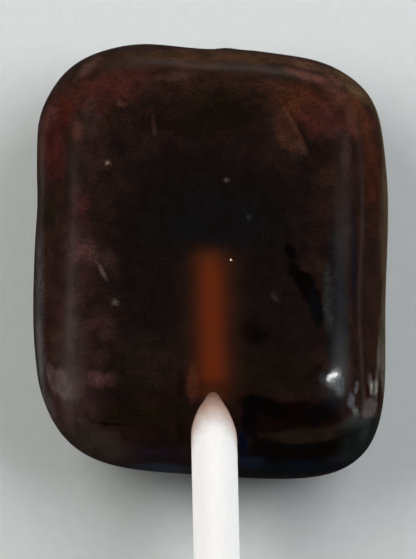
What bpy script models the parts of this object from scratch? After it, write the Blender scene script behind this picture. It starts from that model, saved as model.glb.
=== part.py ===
"""Barley sugar lollipop: a pillow of dark boiled sugar cast round a white paper stick.

It lies on its flat back with the shown face up (+Z). The head points along +Y and
the stick along -Y. The origin is the middle of the flat back. Units are metres.
"""
import math

import bmesh
import bpy
from mathutils import Vector

MM = 0.001

# Head, seen from above: half sizes from the origin, and how square each corner is.
HALF_RIGHT = 15.3 * MM
HALF_LEFT = 15.4 * MM
HALF_TOP = 19.25 * MM
HALF_BOTTOM = 19.25 * MM
CORNER_TOP_RIGHT = 4.1
CORNER_TOP_LEFT = 4.15
CORNER_BOTTOM_LEFT = 3.95
CORNER_BOTTOM_RIGHT = 4.95
OUTLINE_LEAN = -0.0093        # share of the radius, two waves round
OUTLINE_LOP = 0.0021          # share of the radius, three waves round
OUTLINE_SQUARING = 0.0135     # share of the radius, four waves round
# Uneven places of the outline: the angle in degrees, the height, the spread in degrees, and
# the power that keeps it to the rim. The first is a small lump of flash on the top edge.
LUMPS = (
    (86.0, 0.20 * MM, 3.0, 8),
    (45.0, 0.33 * MM, 8.0, 1),
    (80.0, 0.16 * MM, 6.0, 1),
    (107.0, 0.24 * MM, 8.0, 1),
    (139.0, 0.24 * MM, 6.0, 1),
    (160.0, -0.16 * MM, 9.0, 1),
)

# Head, seen from the side.
THICKNESS = 10.6 * MM
RIM_HEIGHT = 4.8 * MM         # the widest line of the head, above the flat back
FRONT_SHOULDER = 5.6 * MM
BACK_SHOULDER = 5.0 * MM
BEVEL_DEPTH = 1.6 * MM        # how much wider the front shoulder is where the stick leaves
BEVEL_REACH = 12              # the higher, the closer the bevel keeps to the stick
BEVEL_POWER = 1.2             # nearer to 1, the shoulder is more of a straight bevel
PILLOW_POWER = 2.0            # nearer to 2, the shoulder is round like a pillow's
RIM_WIDTH_SHARE = 0.18        # share of the shoulder's width that the round rim takes
RIM_HEIGHT_SHARE = 0.16       # share of the shoulder's height that the round rim takes
PANEL_SQUARENESS = 0.75       # share of a corner's exponent that is left at the panel

# Stick: rolled paper, 4 mm across and 89 mm long, a little off the head's middle line.
STICK_RADIUS = 2.0 * MM
STICK_LENGTH = 89.0 * MM
STICK_LEAN = math.radians(1.2)
STICK_INNER_X = -0.07 * MM
STICK_INNER_Y = -0.45 * MM    # where the stick ends inside the sugar
STICK_EDGE_ROUND = 0.25 * MM
SUGAR_OVER_STICK = 0.55 * MM  # from the front panel down to the stick
STICK_GAP = 0.3 * MM          # between the stick and the sugar round it
STICK_HEIGHT = THICKNESS - SUGAR_OVER_STICK - STICK_RADIUS

# Mesh steps.
OUTLINE_STEPS = 96
CORNER_CROWDING = 0.1         # how far the steps crowd into the four corners
SHOULDER_STEPS = 12
SHOULDER_SPACING = 1.5        # above 1, the rings crowd towards the rim
ROD_SIDES = 32
ROD_EDGE_STEPS = 3
SHARP_ANGLE = math.radians(35.0)

SUGAR_COLOR = (0.020, 0.006, 0.004, 1.0)
SUGAR_ROUGHNESS = 0.08
PAPER_COLOR = (0.86, 0.84, 0.80, 1.0)
PAPER_ROUGHNESS = 0.75


def clear_scene():
    """Remove what the file holds before the model is built."""
    for obj in list(bpy.data.objects):
        bpy.data.objects.remove(obj, do_unlink=True)


def principled(name, color, roughness):
    """Return a non-metallic material with the given colour and roughness."""
    material = bpy.data.materials.new(name)
    material.use_nodes = True
    shader = material.node_tree.nodes["Principled BSDF"]
    shader.inputs["Base Color"].default_value = color
    shader.inputs["Roughness"].default_value = roughness
    shader.inputs["Metallic"].default_value = 0.0
    return material


def corner_exponent(angle):
    """Return the superellipse exponent of the quadrant that the angle points to."""
    right = math.cos(angle) >= 0.0
    top = math.sin(angle) >= 0.0
    if top:
        return CORNER_TOP_RIGHT if right else CORNER_TOP_LEFT
    return CORNER_BOTTOM_RIGHT if right else CORNER_BOTTOM_LEFT


def towards_stick(angle):
    """Return 1 at the stick's side of the head, with a quick fall to 0 away from it."""
    return max(-math.sin(angle), 0.0) ** BEVEL_REACH


def outline_radius(angle, inset, bevel, squareness):
    """Return the outline's distance from the middle, with its sides moved inwards."""
    across = math.cos(angle)
    along = math.sin(angle)
    half_x = (HALF_RIGHT if across >= 0.0 else HALF_LEFT) - inset
    half_y = (HALF_TOP if along >= 0.0 else HALF_BOTTOM) - inset - bevel
    power = corner_exponent(angle) * squareness
    radius = (abs(across / half_x) ** power + abs(along / half_y) ** power) ** (-1.0 / power)
    waves = (OUTLINE_LEAN * math.sin(2.0 * angle)
             + OUTLINE_LOP * math.sin(3.0 * angle)
             + OUTLINE_SQUARING * math.sin(4.0 * angle))
    return radius * (1.0 + waves)


def lumps(angle, share):
    """Return how far the uneven places stand out of the outline at this angle."""
    degrees = math.degrees(angle)
    return sum(height * math.exp(-((degrees - middle) / spread) ** 2) * (1.0 - share) ** fade
               for middle, height, spread, fade in LUMPS)


def shoulder_rise(share, power):
    """Return the height share of the shoulder, 0 at the rim and 1 at the panel.

    A quarter ellipse makes the round rim, and a slope that eases into the panel is
    added to it.
    """
    round_in = max(1.0 - share / RIM_WIDTH_SHARE, 0.0)
    rim = math.sqrt(1.0 - round_in ** 2)
    slope = 1.0 - (1.0 - share) ** power
    return RIM_HEIGHT_SHARE * rim + (1.0 - RIM_HEIGHT_SHARE) * slope


def head_ring(share, front):
    """Return one ring of the head: share is 0 at the rim and 1 at a panel's edge."""
    inset = share * (FRONT_SHOULDER if front else BACK_SHOULDER)
    squareness = 1.0 + (PANEL_SQUARENESS - 1.0) * share
    ring = []
    for step in range(OUTLINE_STEPS):
        even = 2.0 * math.pi * step / OUTLINE_STEPS
        angle = even + CORNER_CROWDING * math.sin(4.0 * even)
        near = towards_stick(angle) if front else 0.0
        radius = outline_radius(angle, inset, share * BEVEL_DEPTH * near, squareness)
        radius += lumps(angle, share)
        rise = shoulder_rise(share, PILLOW_POWER + (BEVEL_POWER - PILLOW_POWER) * near)
        if front:
            height = RIM_HEIGHT + (THICKNESS - RIM_HEIGHT) * rise
        else:
            height = RIM_HEIGHT * (1.0 - rise)
        ring.append(Vector((radius * math.cos(angle), radius * math.sin(angle), height)))
    return ring


def rod_rings(radius, length, edge_round):
    """Return the rings of a rod from the origin along -Y, with its end edges rounded."""
    turns = [0.5 * math.pi * step / ROD_EDGE_STEPS for step in range(ROD_EDGE_STEPS + 1)]
    near = [(edge_round * (1.0 - math.cos(turn)), radius - edge_round * (1.0 - math.sin(turn)))
            for turn in turns]
    far = [(length - along, size) for along, size in reversed(near)]
    rings = []
    for along, size in near + far:
        ring = []
        for side in range(ROD_SIDES):
            angle = 2.0 * math.pi * side / ROD_SIDES
            ring.append(Vector((size * math.cos(angle), -along, size * math.sin(angle))))
        rings.append(ring)
    return rings


def mesh_from_rings(name, rings):
    """Return a closed mesh that joins the rings in order, with a flat face at each end."""
    bm = bmesh.new()
    loops = [[bm.verts.new(point) for point in ring] for ring in rings]
    count = len(rings[0])
    for lower, upper in zip(loops, loops[1:]):
        for step in range(count):
            ahead = (step + 1) % count
            bm.faces.new((lower[step], lower[ahead], upper[ahead], upper[step]))
    bm.faces.new(list(reversed(loops[0])))
    bm.faces.new(loops[-1])
    bmesh.ops.recalc_face_normals(bm, faces=bm.faces)
    mesh = bpy.data.meshes.new(name)
    bm.to_mesh(mesh)
    bm.free()
    mesh.shade_smooth()
    mesh.set_sharp_from_angle(angle=SHARP_ANGLE)
    return mesh


def add_object(name, mesh):
    """Put a mesh into the scene as a named object."""
    obj = bpy.data.objects.new(name, mesh)
    bpy.context.scene.collection.objects.link(obj)
    return obj


def place_on_stick_line(obj, behind):
    """Put an object on the stick's line, a distance behind the stick's inner end."""
    obj.location = (STICK_INNER_X - behind * math.sin(STICK_LEAN),
                    STICK_INNER_Y + behind * math.cos(STICK_LEAN),
                    STICK_HEIGHT)
    obj.rotation_euler = (0.0, 0.0, STICK_LEAN)


def build_stick():
    """Build the round paper stick, from its end inside the sugar to its free end."""
    stick = add_object("stick", mesh_from_rings("stick", rod_rings(STICK_RADIUS, STICK_LENGTH,
                                                                   STICK_EDGE_ROUND)))
    stick.data.materials.append(principled("paper", PAPER_COLOR, PAPER_ROUGHNESS))
    place_on_stick_line(stick, 0.0)
    return stick


def build_stick_bore():
    """Build the cutter for the blind hole that the stick sits in."""
    rings = rod_rings(STICK_RADIUS + STICK_GAP, STICK_LENGTH, STICK_GAP)
    bore = add_object("stick_bore", mesh_from_rings("stick_bore", rings))
    place_on_stick_line(bore, STICK_GAP)
    bore.hide_render = True
    bore.display_type = "WIRE"
    return bore


def build_sugar_head(bore):
    """Build the pillow of sugar, from the flat back over the rim to the front panel."""
    shares = [(step / SHOULDER_STEPS) ** SHOULDER_SPACING for step in range(SHOULDER_STEPS + 1)]
    rings = [head_ring(share, front=False) for share in reversed(shares)]
    rings += [head_ring(share, front=True) for share in shares[1:]]
    head = add_object("sugar_head", mesh_from_rings("sugar_head", rings))
    head.data.materials.append(principled("boiled_sugar", SUGAR_COLOR, SUGAR_ROUGHNESS))
    cut = head.modifiers.new("stick_bore", "BOOLEAN")
    cut.operation = "DIFFERENCE"
    cut.solver = "EXACT"
    cut.object = bore
    return head


def main():
    """Build the lollipop's two pieces."""
    clear_scene()
    bore = build_stick_bore()
    build_sugar_head(bore)
    build_stick()


main()
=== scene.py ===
"""Looks of a barley sugar lollipop: dark amber sugar cast round a white paper stick.

The sweet lies on its flat back on a pale floor and is seen from above, a little from
the stick's side. Lengths are in metres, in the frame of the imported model.
"""
import logging
import math
from dataclasses import dataclass
from enum import Enum

import bpy
import numpy as np
from mathutils import Euler, Matrix


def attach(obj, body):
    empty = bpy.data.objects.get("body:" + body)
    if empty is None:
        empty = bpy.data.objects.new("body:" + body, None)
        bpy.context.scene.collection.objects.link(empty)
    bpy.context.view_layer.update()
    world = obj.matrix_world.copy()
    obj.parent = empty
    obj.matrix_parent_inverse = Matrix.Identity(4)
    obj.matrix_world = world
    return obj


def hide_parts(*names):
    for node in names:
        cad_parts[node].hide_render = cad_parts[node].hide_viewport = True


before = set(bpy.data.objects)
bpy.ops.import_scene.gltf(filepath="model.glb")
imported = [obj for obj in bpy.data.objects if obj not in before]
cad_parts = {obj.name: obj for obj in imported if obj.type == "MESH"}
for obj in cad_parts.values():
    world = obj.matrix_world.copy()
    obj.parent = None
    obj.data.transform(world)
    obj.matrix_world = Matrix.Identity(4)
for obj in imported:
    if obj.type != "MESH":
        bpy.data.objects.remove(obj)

LOG = logging.getLogger("lollipop")
MM = 0.001
Colour = tuple[float, float, float]
Axes = tuple[float, float, float]
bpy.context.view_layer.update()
NOISE_RANGE = (0.3, 0.7)


# ---------------------------------------------------------------- shader recipes

class Maths(Enum):
    """The Math node operations that the finishes use."""

    ADD = "ADD"
    SUBTRACT = "SUBTRACT"
    MULTIPLY = "MULTIPLY"
    DIVIDE = "DIVIDE"
    POWER = "POWER"
    ABSOLUTE = "ABSOLUTE"
    MINIMUM = "MINIMUM"
    MAXIMUM = "MAXIMUM"
    EXPONENT = "EXPONENT"


class Value:
    """A number socket that can be used in Python expressions."""

    def __init__(self, recipe: "Recipe", socket: bpy.types.NodeSocket) -> None:
        """Wrap a socket.

        Args:
            recipe: the material recipe that the socket belongs to.
            socket: the output socket to wrap.
        """
        self.recipe = recipe
        self.socket = socket

    def _sum(self, operation: Maths, first: object, second: object = None) -> "Value":
        """Add one Math node.

        Args:
            operation: what the node works out.
            first: its first value, a number or a Value.
            second: its second value, where it has one.

        Returns:
            The node's result.
        """
        values = {0: first} if second is None else {0: first, 1: second}
        return self.recipe.value("ShaderNodeMath", {"operation": operation.value}, values)

    def __add__(self, other: object) -> "Value":
        """Return self + other."""
        return self._sum(Maths.ADD, self, other)

    def __radd__(self, other: object) -> "Value":
        """Return other + self."""
        return self._sum(Maths.ADD, other, self)

    def __sub__(self, other: object) -> "Value":
        """Return self - other."""
        return self._sum(Maths.SUBTRACT, self, other)

    def __rsub__(self, other: object) -> "Value":
        """Return other - self."""
        return self._sum(Maths.SUBTRACT, other, self)

    def __mul__(self, other: object) -> "Value":
        """Return self * other."""
        return self._sum(Maths.MULTIPLY, self, other)

    def __rmul__(self, other: object) -> "Value":
        """Return other * self."""
        return self._sum(Maths.MULTIPLY, other, self)

    def __truediv__(self, other: object) -> "Value":
        """Return self / other."""
        return self._sum(Maths.DIVIDE, self, other)

    def __rtruediv__(self, other: object) -> "Value":
        """Return other / self."""
        return self._sum(Maths.DIVIDE, other, self)

    def __pow__(self, other: object) -> "Value":
        """Return self to the power of other."""
        return self._sum(Maths.POWER, self, other)

    def __abs__(self) -> "Value":
        """Return the size of self without its sign."""
        return self._sum(Maths.ABSOLUTE, self)

    def clamp(self) -> "Value":
        """Return self kept between 0 and 1."""
        return self._sum(Maths.MINIMUM, self._sum(Maths.MAXIMUM, self, 0.0), 1.0)

    def above(self, low: float, high: float, most: float = 1.0) -> "Value":
        """Return a smooth step.

        Args:
            low: where the step is 0.
            high: where it reaches its most. Below low, the step falls instead of rising.
            most: how high the step is.

        Returns:
            0 on low's side, most on high's side and a smooth rise between them.
        """
        steps = {1: low, 2: high, 3: 0.0, 4: most}
        if low > high:
            steps = {1: high, 2: low, 3: most, 4: 0.0}
        settings = {"interpolation_type": "SMOOTHSTEP", "clamp": False}
        return self.recipe.value("ShaderNodeMapRange", settings, {0: self, **steps})

    def bump(self, middle: float, width: float) -> "Value":
        """Return a bell curve, exp(-((self - middle) / width) ** 2)."""
        share = (self - middle) / width
        return self._sum(Maths.EXPONENT, share * share * -1.0)


Pixel = tuple[Value, Value]


class Recipe:
    """A node tree under construction, with one method for adding any node."""

    def __init__(self, tree: bpy.types.NodeTree, coordinates: str) -> None:
        """Start a recipe.

        Args:
            tree: the node tree to add to.
            coordinates: which output of the Texture Coordinate node places its patterns.
        """
        self.tree = tree
        self.coordinates = coordinates

    def node(self, kind: str, settings: dict[str, object], inputs: dict) -> bpy.types.Node:
        """Add a node, set it up and then feed its sockets.

        Args:
            kind: the node's type.
            settings: the node's own properties, set first.
            inputs: a number, colour, Value or socket for each named or numbered input.

        Returns:
            The node.
        """
        node = self.tree.nodes.new(kind)
        for key, setting in settings.items():
            setattr(node, key, setting)
        for key, given in inputs.items():
            self.feed(node.inputs[key], given)
        return node

    def feed(self, socket: bpy.types.NodeSocket, given: object) -> None:
        """Link or set one input socket.

        Args:
            socket: the input socket.
            given: a Value, an output socket, a number or a tuple.
        """
        if isinstance(given, Value):
            given = given.socket
        if isinstance(given, bpy.types.NodeSocket):
            self.tree.links.new(given, socket)
        else:
            socket.default_value = given

    def value(self, kind: str, settings: dict[str, object], inputs: dict,
              output: object = 0) -> Value:
        """Add a node and return one of its outputs as a Value."""
        return Value(self, self.node(kind, settings, inputs).outputs[output])

    def place(self) -> bpy.types.NodeSocket:
        """Return the coordinates that place the patterns."""
        return self.node("ShaderNodeTexCoord", {}, {}).outputs[self.coordinates]

    def axes(self) -> tuple[Value, Value, Value]:
        """Return the X, Y and Z of the coordinates that place the patterns."""
        split = self.node("ShaderNodeSeparateXYZ", {}, {0: self.place()})
        return tuple(Value(self, split.outputs[axis]) for axis in range(3))

    def noise(self, size: float, detail: float = 3.0, stretch: Axes = (1.0, 1.0, 1.0),
              distortion: float = 0.0) -> Value:
        """Return noise between 0 and 1.

        Args:
            size: the size of one lump, in metres.
            detail: how many finer layers it has.
            stretch: how much longer a lump is along each axis.
            distortion: how far the lumps are swirled.

        Returns:
            The noise as a Value, mostly inside NOISE_RANGE.
        """
        scale = tuple(1.0 / (size * along) for along in stretch)
        mapping = self.node("ShaderNodeMapping", {}, {"Vector": self.place(), "Scale": scale})
        return self.value("ShaderNodeTexNoise", {}, {"Vector": mapping.outputs[0], "Scale": 1.0,
                                                     "Detail": detail, "Distortion": distortion})

    def blend(self, share: object, first: object, second: object) -> bpy.types.NodeSocket:
        """Mix two colours.

        Args:
            share: how much of the second colour there is, from 0 to 1.
            first: the colour at 0, a tuple or a colour socket.
            second: the colour at 1.

        Returns:
            The mixed colour's socket.
        """
        node = self.tree.nodes.new("ShaderNodeMix")
        node.data_type = "RGBA"
        self.feed(node.inputs["Factor"], share)
        colours = [socket for socket in node.inputs if socket.type == "RGBA"]
        for socket, colour in zip(colours, (first, second)):
            self.feed(socket, (*colour, 1.0) if isinstance(colour, tuple) else colour)
        return next(socket for socket in node.outputs if socket.type == "RGBA")

    def spot(self, place: object, middle: tuple[float, float], sizes: tuple[float, float],
             turn: float, core: float, most: float) -> Value:
        """Make a soft-edged oval.

        Each dot product turns, moves and scales the coordinates at once, because their
        third part is 1.

        Args:
            place: the coordinates that the oval is drawn on, with 1 as their third part.
            middle: the oval's middle.
            sizes: its half length and half width.
            turn: how far its length is turned, in degrees.
            core: the share of its size inside which it is full.
            most: how strong it is inside the core.

        Returns:
            The most inside the core, 0 outside the oval and a smooth fall between them.
        """
        cosine, sine = math.cos(math.radians(turn)), math.sin(math.radians(turn))
        parts = {}
        for part, (across, down) in enumerate(((cosine, sine), (-sine, cosine))):
            moved = -(across * middle[0] + down * middle[1])
            line = tuple(number / sizes[part] for number in (across, down, moved))
            parts[part] = self.value("ShaderNodeVectorMath", {"operation": "DOT_PRODUCT"},
                                     {0: place, 1: line}, "Value")
        flat = self.node("ShaderNodeCombineXYZ", {}, parts)
        distance = self.value("ShaderNodeVectorMath", {"operation": "LENGTH"},
                              {0: flat.outputs[0]}, "Value")
        return distance.above(1.0, core, most)


class MaterialRecipe(Recipe):
    """A material under construction round one Principled BSDF."""

    def __init__(self, name: str) -> None:
        """Start a material that holds only a Principled BSDF and its output.

        Args:
            name: the material's name.
        """
        self.material = bpy.data.materials.new(name)
        self.material.use_nodes = True
        super().__init__(self.material.node_tree, "Object")
        self.shader = self.tree.nodes["Principled BSDF"]
        self.output = self.tree.nodes["Material Output"]

    def relief(self, height: Value, distance: float, strength: float = 1.0) -> None:
        """Feed the shader's Normal from a height pattern.

        Args:
            height: the pattern.
            distance: how high a value of 1 stands, in metres.
            strength: how much of the relief shows.
        """
        bump = self.node("ShaderNodeBump", {}, {"Strength": strength, "Distance": distance,
                                                "Height": height})
        self.feed(self.shader.inputs["Normal"], bump.outputs[0])

    def set(self, **sockets: object) -> None:
        """Feed the shader's sockets.

        Args:
            **sockets: what each socket is given. An underscore in the name stands for a
                space, and a colour of three parts gets a fourth.
        """
        for name, given in sockets.items():
            given = (*given, 1.0) if isinstance(given, tuple) and len(given) == 3 else given
            self.feed(self.shader.inputs[name.replace("_", " ")], given)


# ---------------------------------------------------------------- the photograph's frame

@dataclass(frozen=True)
class PhotoFrame:
    """Where the photograph's pixels lie on the object, for a camera at one distance.

    The camera looks at the target, the point that the middle of the picture shows at
    the middle height. It is tilted from straight down towards the stick.
    """

    width: int = 416
    height: int = 559
    pixels_per_mm: float = 11.5
    middle_x: float = 211.1
    middle_y: float = 261.4
    tilt: float = math.radians(16.0)
    middle_height: float = 4.8 * MM
    distance: float = 1.2

    def step(self) -> float:
        """Return the length of one pixel at the target, in metres."""
        return MM / self.pixels_per_mm

    def target(self) -> np.ndarray:
        """Work out the point that the camera looks at.

        Returns:
            The point that the middle of the picture shows at the middle height.
        """
        x = (0.5 * self.width - self.middle_x) * self.step()
        y = (self.middle_y - 0.5 * self.height) * self.step() / math.cos(self.tilt)
        return np.array([x, y, self.middle_height])

    def camera_place(self) -> np.ndarray:
        """Return where the camera stands."""
        back = np.array([0.0, -math.sin(self.tilt), math.cos(self.tilt)])
        return self.target() + self.distance * back

    def on_object(self, across: np.ndarray, down: np.ndarray, height: float) -> np.ndarray:
        """Work out the points that pixels show at a height.

        A pixel's point on the picture's plane through the target is moved along its line
        of sight until it has the height.

        Args:
            across: the pixels' columns.
            down: the pixels' rows.
            height: the height above the floor, in metres.

        Returns:
            An array of points, one row each.
        """
        right = (across - 0.5 * self.width) * self.step()
        up = (0.5 * self.height - down) * self.step()
        plane = self.target() + np.stack([right, up * math.cos(self.tilt),
                                          up * math.sin(self.tilt)], axis=-1)
        camera = self.camera_place()
        share = (camera[2] - height) / (camera[2] - plane[:, 2])
        return camera + share[:, None] * (plane - camera)

    def in_recipe(self, recipe: Recipe) -> Pixel:
        """Work out the pixel that the photograph shows a point at.

        The point's place across and up the picture is scaled by the camera's distance
        over the point's own distance.

        Args:
            recipe: the recipe whose coordinates are the points.

        Returns:
            The column and the row.
        """
        x, y, z = (axis - float(middle) for axis, middle in zip(recipe.axes(), self.target()))
        sine, cosine = math.sin(self.tilt), math.cos(self.tilt)
        scale = (self.distance / self.step()) / (self.distance - (z * cosine - y * sine))
        return (0.5 * self.width + x * scale,
                0.5 * self.height - (y * cosine + z * sine) * scale)


PHOTO = PhotoFrame()


# ---------------------------------------------------------------- meshes from arrays

def mesh_object(name: str, points: np.ndarray, quads: np.ndarray,
                fans: np.ndarray) -> bpy.types.Object:
    """Make a mesh object from whole arrays.

    Args:
        name: the object's name.
        points: an array of points, one row each.
        quads: an array of four point numbers for each face.
        fans: an array of three point numbers for each face.

    Returns:
        The object, linked into the scene and shaded smooth.
    """
    mesh = bpy.data.meshes.new(name)
    mesh.vertices.add(len(points))
    mesh.vertices.foreach_set("co", points.astype(np.float32).ravel())
    corners = np.concatenate([quads.ravel(), fans.ravel()]).astype(np.int32)
    mesh.loops.add(len(corners))
    mesh.loops.foreach_set("vertex_index", corners)
    sizes = np.concatenate([np.full(len(quads), 4), np.full(len(fans), 3)])
    mesh.polygons.add(len(sizes))
    mesh.polygons.foreach_set("loop_start", (np.cumsum(sizes) - sizes).astype(np.int32))
    mesh.update(calc_edges=True)
    mesh.validate()
    mesh.shade_smooth()
    piece = bpy.data.objects.new(name, mesh)
    bpy.context.scene.collection.objects.link(piece)
    return piece


def ring_faces(rings: int, sides: int) -> tuple[np.ndarray, np.ndarray]:
    """Work out the faces of a tube of rings with a pole point past each end.

    Point r * sides + s is side s of ring r. The two poles come after all the rings.

    Args:
        rings: the number of rings.
        sides: the number of points in a ring.

    Returns:
        The quads between the rings and the triangles at the poles.
    """
    ring, side = np.meshgrid(np.arange(rings - 1), np.arange(sides), indexing="ij")
    ahead = (side + 1) % sides
    quads = np.stack([ring * sides + side, ring * sides + ahead,
                      (ring + 1) * sides + ahead, (ring + 1) * sides + side], axis=-1)
    turn = np.arange(sides)
    last = (rings - 1) * sides
    pole = np.full(sides, rings * sides)
    start = np.stack([pole, (turn + 1) % sides, turn], axis=-1)
    end = np.stack([pole + 1, last + turn, last + (turn + 1) % sides], axis=-1)
    return quads.reshape(-1, 4), np.concatenate([start, end])


def closed_tube(name: str, rings: np.ndarray) -> bpy.types.Object:
    """Make a closed piece from rings of points.

    Args:
        name: the object's name.
        rings: an array of rings by sides by 3. Each ring turns anticlockwise as seen
            from the last ring's end.

    Returns:
        The object. A pole point in the middle of the first and last ring closes it.
    """
    count, sides, _ = rings.shape
    poles = np.stack([rings[0].mean(axis=0), rings[-1].mean(axis=0)])
    quads, fans = ring_faces(count, sides)
    return mesh_object(name, np.concatenate([rings.reshape(-1, 3), poles]), quads, fans)


def smooth_step(low: float, high: float, at: np.ndarray) -> np.ndarray:
    """Return 3 t^2 - 2 t^3 of how far each value is from low to high, held to 0..1."""
    share = np.clip((at - low) / (high - low), 0.0, 1.0)
    return share * share * (3.0 - 2.0 * share)


def ride_as(piece: bpy.types.Object, material: bpy.types.Material,
            replaced: str | None = None) -> bpy.types.Object:
    """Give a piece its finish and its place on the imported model's one body.

    Args:
        piece: the piece.
        material: its finish.
        replaced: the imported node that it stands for, if any.

    Returns:
        The piece.
    """
    piece.data.materials.append(material)
    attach(piece, "root")
    if replaced:
        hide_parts(replaced)
    return piece


# ---------------------------------------------------------------- finishes

def linear(red: float, green: float, blue: float) -> Colour:
    """Return the linear colour of an sRGB colour whose parts run from 0 to 255."""
    return tuple((part / 255.0 / 12.92) if part < 10.3 else ((part / 255.0 + 0.055) / 1.055) ** 2.4
                 for part in (red, green, blue))


@dataclass(frozen=True)
class Patch:
    """A soft oval of another haze colour, placed in the photograph's pixels.

    It is full inside its core, a share of its size, and a ragged one has stirred edges.
    Most patches are painted light and shade: sheens, glints, reflections and the light
    through thin edges. A few are flecks and scratches.
    """

    across: float
    down: float
    half_long: float
    half_wide: float
    turn: float
    colour: Colour
    share: float = 1.0
    core: float = 0.2
    ragged: bool = True


@dataclass(frozen=True)
class PaintedStickGlow:
    """The painted warm glow of the stick in the thin sugar over it, in the photograph's pixels.

    Its middle line passes through a column at a row and leans from there. It fades out
    above its top row, and between the two rows of its foot.
    """

    tint: Colour = (0.325, 0.092, 0.029)
    column: float = 210.8
    row: float = 260.0
    lean: float = 0.018
    half_width: float = 21.5
    top_row: float = 262.0
    top_fade: float = 30.0
    top_softness: float = 0.44
    foot_rows: tuple[float, float] = (409.0, 389.0)
    lump: float = 2.2 * MM
    wander: float = 14.0

    def share(self, recipe: Recipe, pixel: Pixel) -> Value:
        """Work out how much of the streak shows at a point.

        It is a bell curve of the distance from the middle line, times a bell curve of
        how far above the top row the point is, times a smooth step at the foot. Noise
        moves all of its edges about.

        Args:
            recipe: the recipe to add to.
            pixel: the column and row that the point is seen in.

        Returns:
            The streak's share, 1 on its middle line.
        """
        across, down = pixel
        wander = (recipe.noise(self.lump, 2.0) - 0.5) * self.wander
        aside = abs(across - self.column - (down - self.row) * self.lean + wander)
        short = ((self.top_row - down - wander) / self.top_fade).clamp()
        return (aside.bump(0.0, self.half_width) * short.bump(0.0, self.top_softness)
                * (down + wander).above(*self.foot_rows))


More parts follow.
